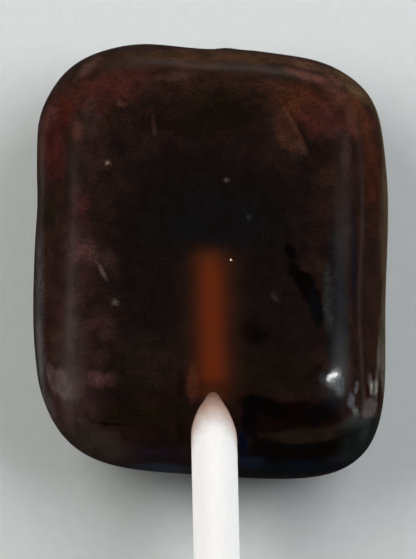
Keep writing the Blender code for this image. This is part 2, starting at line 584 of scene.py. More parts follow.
@dataclass(frozen=True)
class BoiledSugar:
    """Dark amber sugar glass with faint haze, a fold and bubbles cooked into it.

    The volume takes away blue first, then green, then red. The small share that is not
    transmitted is the haze, and its colours are given as they look on a screen. Into the
    haze are painted the sugar's sheens, glints and dark reflections, the light through its
    thin edges and rim, and the warm glow of the stick under it. The middle and the half
    size are the head's, in the photograph's pixels. A stir is the size of the noise that
    makes edges ragged, and how many pixels it moves them.
    """

    loss_per_mm: Colour = (0.50, 0.95, 1.50)
    deepest_tint: float = 0.95
    refraction: float = 1.48
    clearness: float = 0.88
    haze_light: float = 0.128
    mirrored_room: float = 0.0007
    mirror_level: float = 0.25
    gloss_roughness: float = 0.03
    smudge_roughness: float = 0.08
    smudge_lump: float = 4.0 * MM
    smudge_from: tuple[float, float] = (0.45, 0.72)
    ripple: float = 0.010 * MM
    ripple_lump: float = 1.6 * MM
    middle: tuple[float, float] = (210.0, 262.0)
    half_size: tuple[float, float] = (176.0, 212.0)
    haze: Colour = (22, 16, 15)
    # Painted light through the thin sugar at the head's edge.
    painted_edge_light: Colour = (44, 27, 21)
    edge_from: tuple[float, float] = (0.40, 0.92)
    edge_lump: float = 3.0 * MM
    edge_wander: float = 0.7
    mottle: Colour = (11, 6, 5)
    mottle_lump: float = 1.4 * MM
    mottle_from: tuple[float, float] = (0.40, 0.62)
    mottle_share: float = 0.4
    grain: Colour = (8, 4, 3)
    grain_lump: float = 0.22 * MM
    grain_from: tuple[float, float] = (0.35, 0.70)
    grain_share: float = 0.45
    # Painted pale band of light along the thin rim at the upper right.
    painted_rim_light: Colour = (92, 76, 52)
    rim_height: float = 5.0 * MM
    rim_reach: float = 0.55 * MM
    rim_from: tuple[float, float] = (0.0, 1.1)
    rim_share: float = 0.8
    # The painted warm glow of the stick seen under the sugar.
    streak: PaintedStickGlow = PaintedStickGlow()
    fine_stir: tuple[float, float] = (0.45 * MM, 6.0)
    wide_stir: tuple[float, float] = (1.5 * MM, 18.0)
    wide_patch: float = 10.0
    patches: tuple[Patch, ...] = (
        # Painted reddish light through the thin upper corners and down the sides.
        Patch(105, 90, 66, 28, -18, (65, 32, 27)),
        Patch(54, 145, 52, 18, 90, (64, 27, 24)),
        Patch(67, 112, 24, 12, 80, (64, 26, 15)),
        Patch(308, 104, 50, 26, 15, (71, 37, 23)),
        Patch(336, 92, 26, 12, 35, (78, 45, 34)),
        Patch(330, 122, 34, 20, 25, (67, 33, 28)),
        Patch(373, 165, 85, 13, 88, (61, 30, 20)),
        # Painted light through the thin top edge, and darker haze under it.
        Patch(210, 57, 108, 9, 2, (65, 43, 28), core=0.5),
        Patch(188, 66, 48, 7, 1, (55, 31, 21), core=0.3),
        Patch(220, 112, 58, 34, 0, (25, 18, 10)),
        # Painted light and sheens on the rim round the upper corners and down the right side.
        Patch(362, 118, 34, 12, 72, (81, 45, 29)),
        Patch(353, 87, 42, 8, 44, (85, 64, 43), ragged=False),
        Patch(310, 66, 34, 6, 14, (83, 56, 41), ragged=False),
        Patch(88, 67, 24, 7, -40, (72, 50, 41)),
        Patch(50, 117, 24, 9, 108, (76, 42, 38)),
        Patch(42, 145, 48, 5, 90, (65, 39, 36), ragged=False),
        Patch(385, 205, 70, 4, 88, (78, 61, 48), ragged=False),
        Patch(385, 325, 62, 4, 89, (97, 97, 81), ragged=False, core=0.5),
        Patch(382, 350, 60, 4, 88, (63, 56, 42), ragged=False),
        # The upper right, and the right shoulder with its painted sheens and painted dark
        # reflections.
        Patch(270, 88, 26, 12, 10, (61, 37, 28)),
        Patch(326, 156, 26, 18, 20, (32, 17, 12)),
        Patch(336, 300, 110, 17, 89, (22, 21, 24), share=0.9, core=0.4),
        Patch(328, 300, 46, 8, 88, (48, 49, 47)),
        Patch(354, 260, 80, 6, 89, (27, 21, 26)),
        Patch(384, 270, 110, 5, 88, (67, 50, 39), ragged=False),
        Patch(351, 400, 10, 4.2, 95, (93, 92, 97), core=0.5),
        Patch(372, 392, 34, 11, 80, (35, 4, 0), core=0.4),
        # The darker middle.
        Patch(212, 222, 105, 66, 0, (16, 16, 17), core=0.2),
        # The haze of the left side, with its painted sheens and the painted pale reflection along
        # its rim.
        Patch(72, 300, 125, 34, 90, (53, 33, 31), share=0.8),
        Patch(94, 150, 50, 20, 90, (46, 29, 26), share=0.9),
        Patch(76, 130, 26, 10, 84, (72, 42, 36)),
        Patch(50, 212, 26, 10, 90, (31, 24, 15)),
        Patch(68, 350, 40, 30, 90, (63, 44, 38), share=0.9),
        Patch(78, 398, 50, 36, 60, (65, 42, 42), share=0.9),
        Patch(86, 430, 40, 12, 35, (78, 44, 45)),
        Patch(76, 300, 110, 8, 90, (58, 41, 36)),
        Patch(40, 300, 130, 7, 90, (63, 56, 55), ragged=False),
        Patch(48, 402, 30, 7, 68, (70, 61, 59), ragged=False),
        Patch(45, 364, 26, 4, 86, (61, 50, 50), ragged=False),
        Patch(37, 366, 26, 3.4, 87, (49, 48, 52), ragged=False),
        Patch(51, 374, 16, 6, 80, (89, 72, 71)),
        Patch(80, 205, 34, 14, 85, (60, 31, 30)),
        Patch(86, 252, 30, 18, 10, (74, 48, 46)),
        Patch(101, 326, 24, 20, 30, (55, 34, 32)),
        Patch(102, 356, 20, 12, 90, (50, 32, 28)),
        Patch(98, 379, 24, 12, 0, (81, 53, 52)),
        Patch(61, 386, 22, 12, 55, (88, 69, 65), core=0.5),
        Patch(108, 258, 28, 15, 60, (51, 34, 30)),
        # Flecks, short scratches and the painted glints of bubbles.
        Patch(102, 271, 15, 3.4, 62, (88, 69, 65), ragged=False),
        Patch(107, 163, 5, 5, 0, (73, 59, 53)),
        Patch(115, 302, 6, 5, 0, (70, 63, 56)),
        Patch(226, 180, 5, 4, 0, (62, 52, 52)),
        Patch(154, 126, 16, 3.4, 84, (60, 42, 36), share=0.8),
        Patch(121, 104, 8, 5, 20, (87, 58, 46), share=0.8),
        Patch(147, 110, 6, 4, 0, (46, 26, 23)),
        Patch(97, 115, 5, 4, 0, (68, 31, 34)),
        Patch(154, 138, 5, 3, 0, (34, 22, 17)),
        Patch(275, 297, 9, 4, 60, (44, 34, 31)),
        Patch(249, 217, 5, 4, 0, (34, 36, 36)),
        Patch(319, 268, 13, 6, 75, (40, 28, 23)),
        # The lower half on both sides of the stick, with a painted dark line and a painted pale
        # highlight line low on the left.
        Patch(150, 366, 56, 42, 0, (34, 24, 18)),
        Patch(278, 374, 54, 32, 0, (25, 18, 11)),
        Patch(95, 440, 62, 26, 32, (65, 53, 47)),
        Patch(135, 414, 62, 15, -3, (35, 25, 13)),
        Patch(112, 424, 30, 2.6, 5, (19, 10, 0)),
        Patch(110, 432, 20, 3.4, 8, (64, 47, 39)),
        # Painted dark reflections to the right of the stick.
        Patch(290, 251, 12, 7, 65, (1, 0, 0), core=0.4),
        Patch(304, 284, 34, 13, 58, (0, 0, 0), core=0.5),
        Patch(316, 308, 26, 8, 78, (7, 9, 12), core=0.5),
        Patch(252, 334, 22, 18, 40, (0, 0, 2), share=0.9),
        Patch(298, 414, 56, 19, 5, (15, 4, 0), core=0.5),
        Patch(262, 405, 34, 11, 14, (3, 0, 0), core=0.6),
        Patch(326, 408, 30, 16, -35, (7, 4, 9), core=0.3),
        Patch(304, 450, 66, 24, -2, (11, 5, 6), core=0.7),
        # Painted sheens round the lower right corner.
        Patch(360, 438, 40, 19, -52, (26, 31, 29), core=0.6, ragged=False),
        Patch(358, 420, 24, 11, -25, (61, 63, 63), ragged=False),
        Patch(364, 408, 16, 9, -60, (58, 48, 46)),
        Patch(332, 461, 32, 7, -18, (42, 40, 45), ragged=False),
        Patch(346, 428, 16, 7, 0, (41, 42, 39), share=0.7),
        Patch(365, 432, 16, 6, -65, (34, 44, 41)),
        Patch(368, 414, 10, 5, 0, (92, 83, 83)),
        # The lower edge to the right of the stick, with a painted pale lens of light and painted
        # dark and blue reflections.
        Patch(290, 468, 96, 12, -2, (14, 24, 32)),
        Patch(262, 426, 36, 9, 5, (22, 9, 5), core=0.5),
        Patch(305, 436, 46, 9.5, -3, (47, 35, 25), core=0.5, ragged=False),
        Patch(243, 446, 26, 7, 88, (5, 19, 46)),
        Patch(250, 419, 20, 13, 80, (9, 3, 8), core=0.5),
        Patch(255, 438, 14, 6, 60, (0, 0, 0)),
        Patch(252, 462, 22, 9, 0, (26, 37, 54)),
        # The lower edge to the left of the stick, with painted light and shade.
        Patch(158, 454, 46, 14, 2, (42, 30, 38)),
        Patch(180, 430, 24, 8, 90, (28, 18, 6)),
        Patch(181, 382, 26, 6, 92, (15, 11, 6)),
        Patch(193, 383, 24, 8, 90, (92, 47, 34), core=0.4),
        Patch(162, 468, 44, 7, 3, (50, 59, 77), ragged=False),
        # The hazy fold at the upper right.
        Patch(312, 122, 26, 15, 62, (68, 34, 28)),
        Patch(287, 130, 34, 15, 64, (66, 40, 30), core=0.3),
        Patch(302, 146, 15, 6, 60, (71, 46, 38)),
        Patch(292, 122, 36, 3.4, 62, (81, 48, 34), ragged=False),
        # Painted highlight streaks that follow the top and right edges.
        Patch(178, 76, 32, 7, -4, (58, 39, 35)),
        Patch(308, 76, 34, 6, 17, (90, 50, 40)),
        Patch(334, 79, 20, 7, 40, (80, 52, 39)),
        Patch(346, 152, 30, 8, 88, (58, 40, 37)),
        Patch(352, 124, 28, 9, 78, (74, 44, 36)),
        # Painted glints of the lamp, and painted light on the thin rim beside it.
        Patch(374, 388, 10, 4.6, 100, (97, 97, 97), core=0.6),
        Patch(371, 407, 12, 8, 100, (86, 80, 77), core=0.5),
        Patch(361, 398, 20, 3.0, 95, (38, 26, 23)),
        Patch(331, 383, 10, 6, 50, (80, 82, 82), core=0.4, ragged=False),
        Patch(322, 378, 8, 5, 90, (52, 56, 58), ragged=False),
        Patch(341, 385, 15, 4.5, 88, (72, 74, 75), core=0.6, ragged=False),
        Patch(357, 387, 9, 2.4, 97, (97, 93, 97), core=0.4),
        Patch(355, 411, 9, 4.2, 70, (97, 97, 97), core=0.5),
        Patch(383, 368, 34, 3.4, 88, (93, 86, 78), core=0.4),
        Patch(379, 357, 29, 3.2, 92, (96, 87, 78), ragged=False),
        Patch(374, 387, 8, 4.6, 90, (97, 97, 83)),
    )

    def base_colour(self, recipe: MaterialRecipe) -> bpy.types.NodeSocket:
        """Draw the haze, its painted light and shade, and the painted warm glow above the stick.

        Args:
            recipe: the material's recipe.

        Returns:
            The colour socket.
        """
        pixel = PHOTO.in_recipe(recipe)
        colour = self.plain_haze(recipe, pixel)
        colour = self.with_patches(recipe, colour, pixel)
        colour = self.with_fine_haze(recipe, colour, pixel)
        # The stick's painted glow over the haze.
        return recipe.blend(self.streak.share(recipe, pixel), colour, self.streak.tint)

    def from_middle(self, pixel: Pixel) -> tuple[Value, Value]:
        """Return how far right of the head's middle and below it a pixel is, 1 at its edge."""
        return tuple((place - middle) / half
                     for place, middle, half in zip(pixel, self.middle, self.half_size))

    def plain_haze(self, recipe: MaterialRecipe, pixel: Pixel) -> bpy.types.NodeSocket:
        """Draw the dark middle and the paler edge that blends into it, painted as light
        through the thin sugar of the edge.

        The distance from the middle is (right^4 + below^4)^(1/4), 1 at the outline, and
        noise moves it about.

        Args:
            recipe: the material's recipe.
            pixel: the column and row that a point is seen in.

        Returns:
            The colour socket.
        """
        right, below = self.from_middle(pixel)
        out = (abs(right) ** 4.0 + abs(below) ** 4.0) ** 0.25
        wander = (recipe.noise(self.edge_lump, 3.0) - 0.5) * self.edge_wander
        # The paler edge is painted light through the thin sugar there.
        edge = (out + wander).above(*self.edge_from)
        return recipe.blend(edge, self.as_base(self.haze), self.as_base(self.painted_edge_light))

    def with_patches(self, recipe: MaterialRecipe, colour: bpy.types.NodeSocket,
                     pixel: Pixel) -> bpy.types.NodeSocket:
        """Lay the patches, mostly painted light and shade, over the haze in their order,
        the ragged ones with stirred edges.

        Args:
            recipe: the material's recipe.
            colour: the haze under them.
            pixel: the column and row that a point is seen in.

        Returns:
            The colour socket.
        """
        parts = dict(enumerate((*pixel, 1.0)))
        plain = recipe.node("ShaderNodeCombineXYZ", {}, parts).outputs[0]
        fine = self.stirred(recipe, plain, *self.fine_stir)
        wide = self.stirred(recipe, plain, *self.wide_stir)
        for patch in self.patches:
            ragged = wide if patch.half_wide > self.wide_patch else fine
            spot = recipe.spot(ragged if patch.ragged else plain, (patch.across, patch.down),
                               (patch.half_long, patch.half_wide), patch.turn, patch.core,
                               patch.share)
            colour = recipe.blend(spot, colour, self.as_base(patch.colour))
        return colour

    def stirred(self, recipe: MaterialRecipe, plain: bpy.types.NodeSocket, lump: float,
                reach: float) -> bpy.types.NodeSocket:
        """Return the photograph's coordinates, moved about by noise.

        Args:
            recipe: the material's recipe.
            plain: the unmoved coordinates.
            lump: the size of the noise's lumps, in metres.
            reach: how far the noise moves a point at most, in pixels each way and doubled.

        Returns:
            The coordinates' socket: column, row and 1.
        """
        stir = recipe.node("ShaderNodeTexNoise", {}, {
            "Vector": recipe.place(), "Scale": 1.0 / lump, "Detail": 4.0}).outputs["Color"]
        middle = recipe.node("ShaderNodeVectorMath", {"operation": "SUBTRACT"}, {
            0: stir, 1: (0.5, 0.5, 0.5)}).outputs[0]
        return recipe.node("ShaderNodeVectorMath", {"operation": "MULTIPLY_ADD"}, {
            0: middle, 1: (reach, reach, 0.0), 2: plain}).outputs[0]

    def with_fine_haze(self, recipe: MaterialRecipe, colour: bpy.types.NodeSocket,
                       pixel: Pixel) -> bpy.types.NodeSocket:
        """Lay mottling, fine grain and a painted pale band of light along the thin rim over the
        haze.

        The painted band of light is a bell curve of the height, towards the upper right only.

        Args:
            recipe: the material's recipe.
            colour: the haze under them.
            pixel: the column and row that a point is seen in.

        Returns:
            The colour socket.
        """
        mottle = recipe.noise(self.mottle_lump, 6.0, distortion=0.5).above(*self.mottle_from)
        grain = recipe.noise(self.grain_lump, 2.0).above(*self.grain_from)
        right, below = self.from_middle(pixel)
        away = (right - below).above(*self.rim_from, self.rim_share)
        thin = recipe.axes()[2].bump(self.rim_height, self.rim_reach)
        colour = recipe.blend(mottle * self.mottle_share, colour, self.as_base(self.mottle))
        colour = recipe.blend(grain * self.grain_share, colour, self.as_base(self.grain))
        # The painted band of light along the thin rim.
        return recipe.blend(thin * away, colour, self.as_base(self.painted_rim_light))

    def as_base(self, seen: Colour) -> Colour:
        """Return the base colour that makes the haze look a given screen colour."""
        return tuple(min(max(part - self.mirrored_room, 0.0) / self.haze_light, 1.0)
                     for part in linear(*seen))

    def build(self) -> bpy.types.Material:
        """Make the sugar's material: plain transmission with a plain absorbing volume.

        The volume takes away its density times what its colour lacks, so the density is
        the greatest loss over the deepest tint.

        Returns:
            The material.
        """
        recipe = MaterialRecipe("boiled_sugar")
        smudges = recipe.noise(self.smudge_lump, 4.0, distortion=0.6).above(*self.smudge_from)
        recipe.set(Base_Color=self.base_colour(recipe), Transmission_Weight=self.clearness,
                   IOR=self.refraction, Specular_IOR_Level=self.mirror_level,
                   Roughness=self.gloss_roughness + smudges * self.smudge_roughness)
        recipe.relief(recipe.noise(self.ripple_lump, 2.0), self.ripple)
        most = max(self.loss_per_mm)
        passed = tuple(1.0 - loss / most * self.deepest_tint for loss in self.loss_per_mm)
        volume = recipe.node("ShaderNodeVolumeAbsorption", {}, {
            "Color": (*passed, 1.0), "Density": most / self.deepest_tint / MM})
        recipe.feed(recipe.output.inputs["Volume"], volume.outputs[0])
        return recipe.material


@dataclass(frozen=True)
class RolledPaper:
    """Matt white paper, stained by the syrup where it sits in the sugar.

    The amber, the brown and the soaked colour each begin and are full at two places
    along the stick, in the frame's Y. The amber and the brown reach further out of the
    sugar on its flanks than along its top. Inside the sugar, its flanks and its tip are
    painted dark as shade.
    """

    white: Colour = (0.86, 0.85, 0.84)
    fibre: Colour = (0.83, 0.818, 0.805)
    amber: Colour = (0.40, 0.27, 0.215)
    brown: Colour = (0.11, 0.050, 0.030)
    soaked: Colour = (0.80, 0.30, 0.12)
    # Painted shade on the flanks and the tip inside the sugar.
    painted_flank_shade: Colour = (0.16, 0.04, 0.02)
    amber_from: tuple[float, float] = (-17.1 * MM, -14.1 * MM)
    brown_from: tuple[float, float] = (-14.9 * MM, -13.2 * MM)
    soaked_from: tuple[float, float] = (-13.2 * MM, -11.4 * MM)
    tip_dark: float = -0.6 * MM
    tip_clear: float = -2.6 * MM
    top: float = 10.05 * MM
    flank_lead: float = 1.15
    flank_low: float = 8.6 * MM
    flank_high: float = 9.7 * MM
    stain_lump: float = 0.8 * MM
    stain_wander: float = 0.8 * MM
    fibre_lump: float = 0.25 * MM
    fibre_stretch: float = 9.0
    fibre_from: tuple[float, float] = (0.45, 0.75)
    fibre_relief: float = 0.03 * MM
    roughness: float = 0.72

    def build(self) -> bpy.types.Material:
        """Make the paper's material, with long fibres along the stick.

        Returns:
            The material.
        """
        recipe = MaterialRecipe("rolled_paper")
        _, along, height = recipe.axes()
        fibres = recipe.noise(self.fibre_lump, 4.0, stretch=(1.0, self.fibre_stretch, 1.0))
        creep = (along + (self.top - height) * self.flank_lead
                 + (recipe.noise(self.stain_lump, 3.0) - 0.5) * self.stain_wander)
        lit = (height.above(self.flank_low, self.flank_high)
               * along.above(self.tip_dark, self.tip_clear))
        colour = recipe.blend(fibres.above(*self.fibre_from), self.white, self.fibre)
        colour = recipe.blend(creep.above(*self.amber_from), colour, self.amber)
        colour = recipe.blend(creep.above(*self.brown_from), colour, self.brown)
        # Inside the sugar: the soaked colour on top, painted shade on the flanks and the tip.
        soaked_and_shaded = recipe.blend(lit, self.painted_flank_shade, self.soaked)
        recipe.set(Base_Color=recipe.blend(along.above(*self.soaked_from), colour, soaked_and_shaded),
                   Roughness=self.roughness)
        recipe.relief(fibres, self.fibre_relief, 0.5)
        return recipe.material


@dataclass(frozen=True)
class PaintedBubbleGlint:
    """The pale glint of a tiny bubble, painted as a pale matt colour."""

    colour: Colour = (0.70, 0.62, 0.56)
    shaded: Colour = (0.40, 0.33, 0.29)
    lump: float = 0.3 * MM
    roughness: float = 0.3

    def build(self) -> bpy.types.Material:
        """Make the bubbles' material.

        Returns:
            The material.
        """
        recipe = MaterialRecipe("bubble_glint")
        shade = recipe.noise(self.lump, 1.0).above(*NOISE_RANGE)
        recipe.set(Base_Color=recipe.blend(shade, self.colour, self.shaded),
                   Roughness=self.roughness)
        return recipe.material


# ---------------------------------------------------------------- the pieces

@dataclass
class SugarHead:
    """The pillow of sugar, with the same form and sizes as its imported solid.

    Angles go round the head from its right side, in degrees for the flash and the lumps,
    each of which is a middle, a height and a spread.
    """

    half_right: float = 15.3 * MM
    half_left: float = 15.4 * MM
    half_top: float = 19.25 * MM
    half_bottom: float = 19.25 * MM
    corner_powers: tuple[float, float, float, float] = (4.1, 4.15, 3.95, 4.95)
    lean: float = -0.0093
    lop: float = 0.0021
    squaring: float = 0.0135
    thickness: float = 10.6 * MM
    rim_height: float = 4.8 * MM
    front_inset: float = 5.6 * MM
    back_inset: float = 5.0 * MM
    bevel_inset: float = 1.6 * MM
    bevel_power: float = 1.2
    bevel_reach: float = 12.0
    pillow_power: float = 2.0
    rim_width_share: float = 0.18
    rim_height_share: float = 0.16
    panel_squareness: float = 0.75
    flash: tuple[float, float, float] = (86.0, 0.2 * MM, 3.0)
    flash_fade: int = 8
    lumps: tuple[tuple[float, float, float], ...] = (
        (45.0, 0.33 * MM, 8.0), (80.0, 0.16 * MM, 6.0), (107.0, 0.24 * MM, 8.0),
        (139.0, 0.24 * MM, 6.0), (160.0, -0.16 * MM, 9.0), (217.0, 0.07 * MM, 5.0),
    )
    unevenness: float = 0.06 * MM
    wave_lengths: tuple[float, float, float] = (4.3 * MM, 5.6 * MM, 3.1 * MM)
    wave_starts: tuple[float, float, float] = (0.7, -0.4, 1.9)
    wave_slant: float = 0.6
    wave_depths: tuple[float, float] = (1.2 * MM, 0.1 * MM)
    skin: float = 0.01 * MM
    sides: int = 480
    shoulder_rings: int = 60
    panel_rings: int = 14
    back_rings: int = 24
    front_spacing: float = 1.4
    back_spacing: float = 1.5
    corner_crowding: float = 0.35
    stick_crowding: float = 1.8
    stick_crowding_reach: float = math.radians(11.0)
    crowding_steps: int = 7200

    def angles(self) -> np.ndarray:
        """Space the sides round the head.

        A density that is higher in the corners, and much higher at the stick, is summed
        up round the head, and each side takes an equal share of the sum.

        Returns:
            The angle of each side.
        """
        fine = np.linspace(0.0, 2.0 * np.pi, self.crowding_steps)
        stick = np.exp(-((fine - 1.5 * np.pi) / self.stick_crowding_reach) ** 4)
        density = 1.0 - self.corner_crowding * np.cos(4.0 * fine) + self.stick_crowding * stick
        total = np.concatenate([[0.0], np.cumsum(density[1:] + density[:-1])])
        even = np.linspace(0.0, total[-1], self.sides, endpoint=False)
        return np.interp(even, total, fine)

    def towards_stick(self, angle: np.ndarray) -> np.ndarray:
        """Return 1 at the stick's side and a quick smooth fall to 0 away from it."""
        return np.maximum(-np.sin(angle), 0.0) ** self.bevel_reach

    def radius(self, angle: np.ndarray, share: float, inset: float,
               bevel: np.ndarray) -> np.ndarray:
        """Work out an outline's distance from the middle.

        The outline is a superellipse, |x/a|^n + |y/b|^n = 1, with its own half sizes and
        power in each quadrant, times one plus a few low waves round.

        Args:
            angle: the angles round the middle.
            share: 0 at the rim and 1 at the flat panel's edge.
            inset: how far the panel lies inside the rim.
            bevel: how much further it does at the stick's side, for each angle.

        Returns:
            The distances from the middle.
        """
        across, along = np.cos(angle), np.sin(angle)
        half_x = np.where(across >= 0.0, self.half_right, self.half_left) - share * inset
        half_y = np.where(along >= 0.0, self.half_top, self.half_bottom) - share * (inset + bevel)
        top_right, top_left, bottom_left, bottom_right = self.corner_powers
        power = np.where(along >= 0.0, np.where(across >= 0.0, top_right, top_left),
                         np.where(across >= 0.0, bottom_right, bottom_left))
        power = power * (1.0 + (self.panel_squareness - 1.0) * share)
        terms = np.abs(across / half_x) ** power + np.abs(along / half_y) ** power
        waves = (self.lean * np.sin(2.0 * angle) + self.lop * np.sin(3.0 * angle)
                 + self.squaring * np.sin(4.0 * angle))
        return terms ** (-1.0 / power) * (1.0 + waves)

    def lump(self, angle: np.ndarray, middle: float, height: float, spread: float) -> np.ndarray:
        """Return a bell curve round the rim, with its middle and spread in degrees."""
        return height * np.exp(-((np.degrees(angle) - middle) / spread) ** 2)

    def rise(self, share: float, power: np.ndarray) -> np.ndarray:
        """Work out the shoulder's rise: a quarter ellipse plus an easing slope.

        Args:
            share: 0 at the rim and 1 at the flat panel's edge.
            power: how soon the slope eases into the panel, for each angle.

        Returns:
            The share of the shoulder's height, for each angle.
        """
        round_in = max(1.0 - share / self.rim_width_share, 0.0)
        rim = math.sqrt(1.0 - round_in ** 2)
        slope = 1.0 - (1.0 - share) ** power
        return self.rim_height_share * rim + (1.0 - self.rim_height_share) * slope

    def ring(self, share: float, front: bool) -> np.ndarray:
        """Work out one ring of the shoulder: the radius and the height for each angle.

        Args:
            share: 0 at the rim and 1 at the flat panel's edge.
            front: whether the ring is above the rim.

        Returns:
            An array of sides by 3.
        """
        angle = self.angles()
        near = self.towards_stick(angle) if front else np.zeros_like(angle)
        inset = self.front_inset if front else self.back_inset
        lumps = sum(self.lump(angle, *lump) for lump in self.lumps) * (1.0 - share)
        flash = self.lump(angle, *self.flash) * (1.0 - share) ** self.flash_fade
        radius = self.radius(angle, share, inset, self.bevel_inset * near)
        radius = radius + flash + lumps - self.skin
        rise = self.rise(share, self.pillow_power + (self.bevel_power - self.pillow_power) * near)
        if front:
            height = self.rim_height + (self.thickness - self.rim_height) * rise
        else:
            height = self.rim_height * (1.0 - rise)
        return np.stack([radius * np.cos(angle), radius * np.sin(angle), height], axis=-1)

    def surface(self) -> np.ndarray:
        """Stack the rings from the middle of the flat back, over the rim, to the front's.

        The rings of the two flat panels are their edges, scaled down towards the middle.

        Returns:
            An array of rings by sides by 3.
        """
        back_shares = np.linspace(1.0, 0.0, self.back_rings) ** self.back_spacing
        front_shares = np.linspace(0.0, 1.0, self.shoulder_rings)[1:] ** self.front_spacing
        back = [self.ring(share, False) for share in back_shares]
        front = [self.ring(share, True) for share in front_shares]
        scales = np.linspace(0.0, 1.0, self.panel_rings + 1)[1:-1]
        flat = np.array([1.0, 1.0, 0.0])
        first = [back[0] * (flat * scale + (1.0 - flat)) for scale in scales]
        last = [front[-1] * (flat * scale + (1.0 - flat)) for scale in scales[::-1]]
        return np.stack(first + back + front + last)

    def uneven(self, rings: np.ndarray) -> np.ndarray:
        """Lower the front a little by slow waves, as poured sugar is never quite flat.

        The dip is a product of sines across and along plus a slanting sine, from 0 to the
        unevenness, and it fades out towards the rim so that the outline stays.

        Args:
            rings: the plain surface.

        Returns:
            The surface with its waves.
        """
        x, y, z = rings[..., 0], rings[..., 1], rings[..., 2]
        across, along, slanting = (
            np.sin(place / length + start) for place, length, start in zip(
                (x, y, x + self.wave_slant * y), self.wave_lengths, self.wave_starts))
        wave = 0.5 + 0.25 * (across * along + slanting)
        deep, shallow = self.wave_depths
        fade = smooth_step(self.thickness - deep, self.thickness - shallow, z)
        rings[..., 2] = z - self.unevenness * wave * fade
        return rings

    def wet_stick(self, rings: np.ndarray, stick: "PaperStick") -> np.ndarray:
        """Lift the sugar where it wets the stick's flanks on the way out.

        The lift is a share of how far the surface lies under the stick's top, held to a
        largest climb: c (1 - exp(-share * under / c)). It is full along the flanks,
        nothing over the stick's middle line, and dies away sideways.

        Args:
            rings: the sugar's surface.
            stick: the stick that it wets.

        Returns:
            The surface with its climb.
        """
        x, y, z = rings[..., 0], rings[..., 1], rings[..., 2]
        aside = np.abs(stick.aside(x, y))
        under = np.clip(stick.height + stick.radius - z, 0.0, None)
        climb = stick.climb * (1.0 - np.exp(-stick.climb_share * under / stick.climb))
        inner, outer = (share * stick.radius for share in stick.climb_flanks)
        inside = np.sin(0.5 * np.pi * np.clip(aside / inner, 0.0, 1.0))
        outside = np.exp(-(np.clip(aside - outer, 0.0, None) / stick.climb_reach) ** 1.5)
        near = smooth_step(*stick.climb_from, y - stick.inner_y)
        front = smooth_step(self.rim_height, self.rim_height + stick.climb_base, z)
        rings[..., 2] = z + climb * inside * outside * near * front
        return rings

    def build(self, stick: "PaperStick") -> bpy.types.Object:
        """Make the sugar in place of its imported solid.

        Args:
            stick: the stick that it is cast round.

        Returns:
            The sugar's object.
        """
        rings = self.wet_stick(self.uneven(self.surface()), stick)
        piece = closed_tube("sugar", rings)
        return ride_as(piece, BoiledSugar().build(), "sugar_head")


